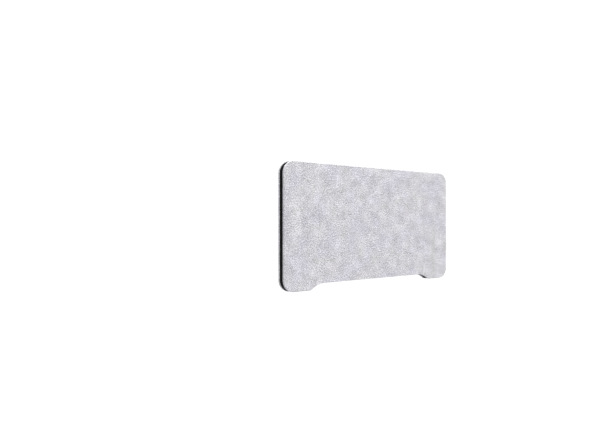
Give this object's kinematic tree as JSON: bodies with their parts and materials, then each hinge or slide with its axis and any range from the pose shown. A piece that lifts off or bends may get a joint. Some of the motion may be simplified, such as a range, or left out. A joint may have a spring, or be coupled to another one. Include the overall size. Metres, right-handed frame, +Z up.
{
  "type": "desk privacy panel",
  "caption": "Upright desk privacy panel: two fabric pads on a black-edged core, rounded corners, and two feet with a cable arch between them.",
  "frame": {"origin": "on the ground, in the middle of the panel's length and thickness", "axes": "+X along the panel, -Y out of its front face, +Z up"},
  "size_m": [1.2, 0.046, 0.6],
  "materials": {
    "cover_fabric": "light grey melange weave, matte",
    "pad_felt": "grey needled felt",
    "backing_board": "brown hardboard",
    "core_board": "raw chipboard",
    "black_band": "matte black edge band",
    "black_nylon": "moulded black nylon",
    "natural_nylon": "moulded natural nylon",
    "zinc_steel": "zinc plated"
  },
  "bodies": {
    "root": {"core_board": "core_board", "edge_band": "black_band", "front_socket_1": "black_nylon", "front_socket_2": "black_nylon", "front_socket_3": "black_nylon", "front_socket_4": "black_nylon", "front_socket_5": "black_nylon", "front_socket_6": "black_nylon", "back_socket_1": "black_nylon", "back_socket_2": "black_nylon", "back_socket_3": "black_nylon", "back_socket_4": "black_nylon", "back_socket_5": "black_nylon", "back_socket_6": "black_nylon", "foot_insert_1": "zinc_steel", "foot_insert_2": "zinc_steel", "foot_insert_3": "zinc_steel", "foot_insert_4": "zinc_steel", "front_cover": "cover_fabric", "front_felt": "pad_felt", "front_backing_board": "backing_board", "front_stud_1": "natural_nylon", "front_stud_2": "natural_nylon", "front_stud_3": "natural_nylon", "front_stud_4": "natural_nylon", "front_stud_5": "natural_nylon", "front_stud_6": "natural_nylon", "back_cover": "cover_fabric", "back_felt": "pad_felt", "back_backing_board": "backing_board", "back_stud_1": "natural_nylon", "back_stud_2": "natural_nylon", "back_stud_3": "natural_nylon", "back_stud_4": "natural_nylon", "back_stud_5": "natural_nylon", "back_stud_6": "natural_nylon"}
  },
  "joints": []
}
